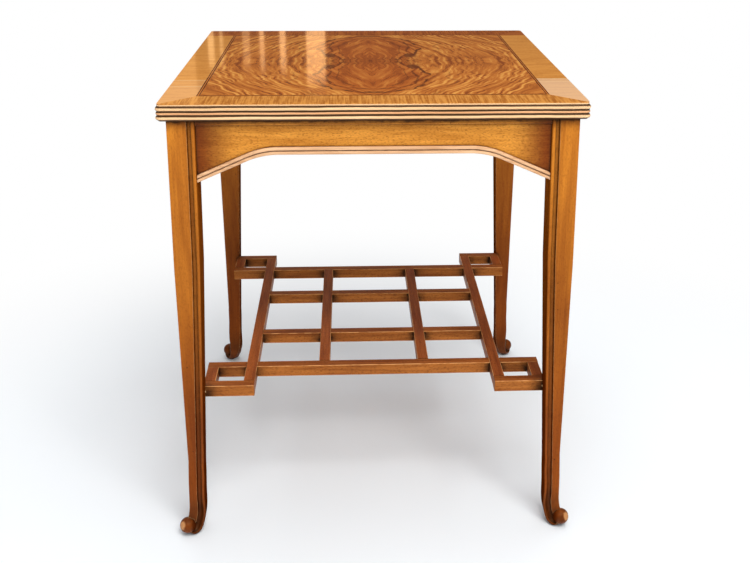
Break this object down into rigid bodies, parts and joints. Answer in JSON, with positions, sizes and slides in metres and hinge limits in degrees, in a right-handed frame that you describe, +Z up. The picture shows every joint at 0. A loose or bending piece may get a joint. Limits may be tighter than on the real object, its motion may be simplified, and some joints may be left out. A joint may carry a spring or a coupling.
{
  "type": "occasional table",
  "caption": "Square occasional table with a matched veneer top, reeded edge, arched aprons, tapering legs with turned-out feet and an open lattice shelf.",
  "frame": {"origin": "on the floor under the middle of the top", "axes": "+Z up, +Y from the front towards the back, +X towards the right"},
  "size_m": [0.6904, 0.6904, 0.776],
  "materials": {
    "figured_veneer": "polished",
    "crossband": "polished",
    "stringing": "polished",
    "moulding": "polished",
    "apron": "polished",
    "apron_trim": "polished",
    "leg": "polished",
    "shelf": "polished",
    "groundwork": "sawn",
    "screw": "aged",
    "dowel": "raw"
  },
  "bodies": {
    "root": {"apron_back": "apron", "apron_front": "apron", "apron_left": "apron", "apron_right": "apron", "arch_reeding_back": "apron_trim", "arch_reeding_front": "apron_trim", "arch_reeding_left": "apron_trim", "arch_reeding_right": "apron_trim", "crossband_back": "crossband", "crossband_front": "crossband", "crossband_left": "crossband", "crossband_right": "crossband", "edge_moulding_back": "moulding", "edge_moulding_front": "moulding", "edge_moulding_left": "moulding", "edge_moulding_right": "moulding", "end_rail_back_left": "shelf", "end_rail_back_right": "shelf", "end_rail_front_left": "shelf", "end_rail_front_right": "shelf", "frieze_bead_back": "apron_trim", "frieze_bead_front": "apron_trim", "frieze_bead_left": "apron_trim", "frieze_bead_right": "apron_trim", "inner_rail_back": "shelf", "inner_rail_front": "shelf", "inner_rail_left": "shelf", "inner_rail_right": "shelf", "leg_back_left": "leg", "leg_back_right": "leg", "leg_front_left": "leg", "leg_front_right": "leg", "outer_rail_back_left": "shelf", "outer_rail_back_right": "shelf", "outer_rail_front_left": "shelf", "outer_rail_front_right": "shelf", "screw_block_back": "groundwork", "screw_block_front": "groundwork", "screw_block_left": "groundwork", "screw_block_right": "groundwork", "shelf_dowels": "dowel", "shelf_rail_back": "shelf", "shelf_rail_front": "shelf", "shelf_rail_left": "shelf", "shelf_rail_right": "shelf", "stringing_back": "stringing", "stringing_front": "stringing", "stringing_left": "stringing", "stringing_right": "stringing", "top_core": "groundwork", "top_screws": "screw", "veneer_leaf_back_left": "figured_veneer", "veneer_leaf_back_right": "figured_veneer", "veneer_leaf_front_left": "figured_veneer", "veneer_leaf_front_right": "figured_veneer"}
  },
  "joints": []
}
